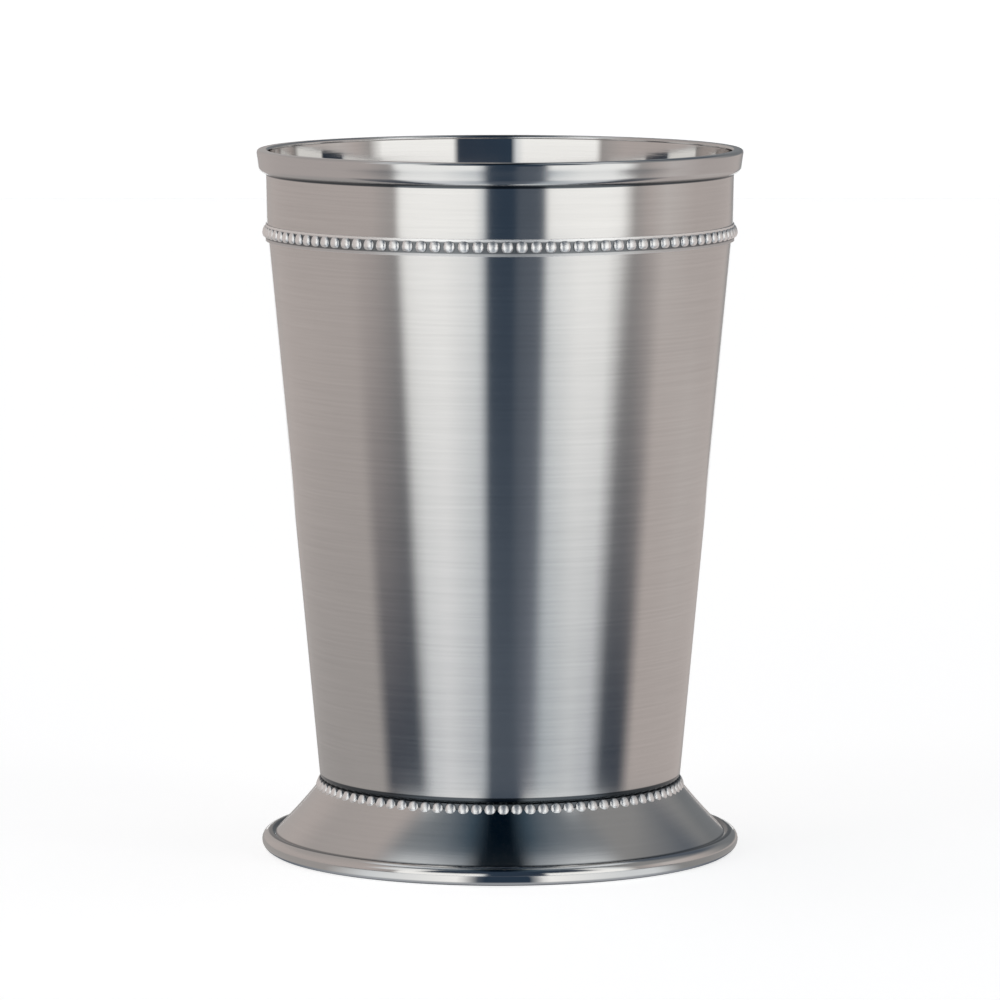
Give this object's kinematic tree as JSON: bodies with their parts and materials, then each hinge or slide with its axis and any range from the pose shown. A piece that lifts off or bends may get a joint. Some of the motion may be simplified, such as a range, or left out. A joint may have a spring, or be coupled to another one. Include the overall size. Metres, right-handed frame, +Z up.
{
  "type": "julep cup",
  "caption": "Footed julep cup of brushed steel: tapered straight wall, thick rim band, beaded ring under the upper band, beaded ring at the waist and a flared foot with a rolled edge.",
  "frame": {"origin": "centre of the ring on which the foot rests", "axes": "+Z up along the cup's axis, from the foot to the mouth; +X and +Y are free, because the cup is turned about Z"},
  "size_m": [0.0789, 0.0788, 0.1144],
  "materials": {
    "cup_steel": "satin, brushed round the cup",
    "trim_steel": "satin, a little brighter than the wall",
    "solder": "dull"
  },
  "bodies": {
    "root": {"cup_body": "cup_steel", "rim_band": "trim_steel", "upper_bead_ring": "trim_steel", "foot": "cup_steel", "lower_bead_ring": "trim_steel", "solder_ring": "solder"}
  },
  "joints": []
}
